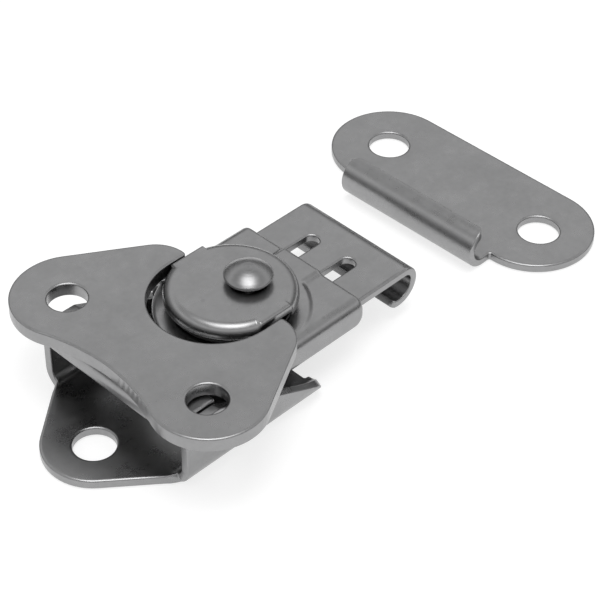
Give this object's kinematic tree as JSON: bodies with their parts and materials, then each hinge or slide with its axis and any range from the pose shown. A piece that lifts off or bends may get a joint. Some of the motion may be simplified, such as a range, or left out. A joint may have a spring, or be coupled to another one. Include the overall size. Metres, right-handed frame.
{
  "type": "toggle bolt latch",
  "caption": "Twist-action draw latch in stainless sheet: a two-lobed turning handle over a cam, a sprung hook link on a channel base, and a separate hooked keeper plate.",
  "frame": {"origin": "on the mounting surface under the base, on the base's centre line, below the centre of the handle's round notch", "axes": "+X from the latch towards the keeper, +Z away from the mounting surface, +Y to the left when looking along +X"},
  "size_m": [0.0864, 0.0445, 0.0151],
  "materials": {
    "sheet_steel": "satin pressed stainless sheet, tumbled, with rolled edges",
    "turned_steel": "spun bright on the dome, turned on the sides",
    "inner_steel": "plain machined, lightly oiled",
    "spring_steel": "drawn spring wire and strip"
  },
  "bodies": {
    "base": {"base_channel": "sheet_steel", "rear_bridge": "sheet_steel", "pivot_rivet": "turned_steel", "standoff_collar": "inner_steel", "wave_washer": "spring_steel"},
    "handle": {"handle_plate": "sheet_steel", "cam_cap": "sheet_steel", "cam_disc": "inner_steel", "cam_carrier": "inner_steel", "cam_retainer": "inner_steel", "cam_bush": "inner_steel"},
    "link": {"link_body": "sheet_steel", "slider_strap": "sheet_steel", "guide_stud_left": "inner_steel", "guide_stud_right": "inner_steel", "take_up_spring_left": "spring_steel", "take_up_spring_right": "spring_steel"},
    "hook": {"hook_slider": "sheet_steel"},
    "keeper": {"keeper": "sheet_steel"}
  },
  "joints": [
    {"name": "handle_turn", "type": "hinge", "parent": "base", "child": "handle", "pos_m": [0.0048, -0.0011, 0.0124], "axis": [0, 0, -1], "range_deg": [0, 180]},
    {"name": "link_swivel", "type": "hinge", "parent": "handle", "child": "link", "pos_m": [0.0028, 0, 0.009], "axis": [0, 0, -1], "range_deg": [-180, 0]},
    {"name": "hook_take_up", "type": "slide", "parent": "link", "child": "hook", "axis": [1, 0, 0], "range_m": [0, 0.0025], "stiffness_N_per_m": 300, "deforming": ["take_up_spring_left", "take_up_spring_right"]},
    {"name": "keeper_approach", "type": "slide", "parent": "base", "child": "keeper", "axis": [1, 0, 0], "range_m": [-0.0025, 0.015]}
  ],
  "couplings": [
    {"joint": "link_swivel", "follows": "handle_turn", "ratio": -1}
  ]
}
